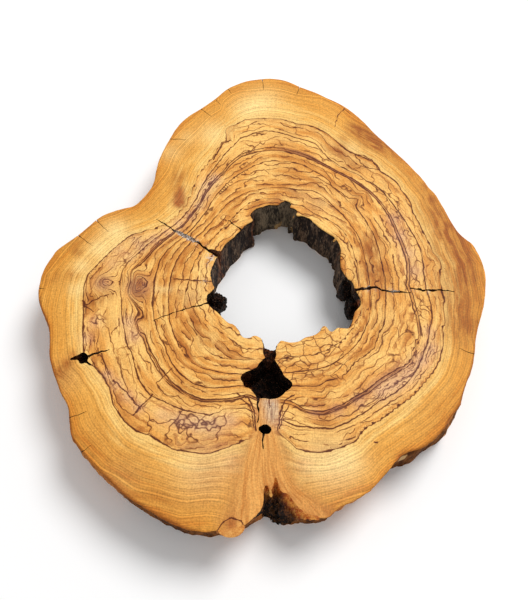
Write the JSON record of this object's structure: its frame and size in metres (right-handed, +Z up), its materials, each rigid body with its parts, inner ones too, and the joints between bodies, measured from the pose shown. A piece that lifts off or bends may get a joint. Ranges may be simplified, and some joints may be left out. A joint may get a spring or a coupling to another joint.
{
  "type": "olive wood slice",
  "caption": "Thick natural-edge cross slice of an old hollow olive trunk, flat sawn on both faces, with a ragged central hollow, a bark notch and drying cracks.",
  "frame": {"origin": "centre of the slice's outline box, on the lower sawn face", "axes": "+Z up out of the upper sawn face, +Y along the slice's longest extent, from the bark notch towards the narrow rounded end, +X to the right seen from above"},
  "size_m": [0.437, 0.4998, 0.05],
  "materials": {
    "olive_wood": "sanded face with a low oiled sheen, rough brown bark in the hollow and the notch"
  },
  "bodies": {
    "root": {"slice": "olive_wood"}
  },
  "joints": []
}
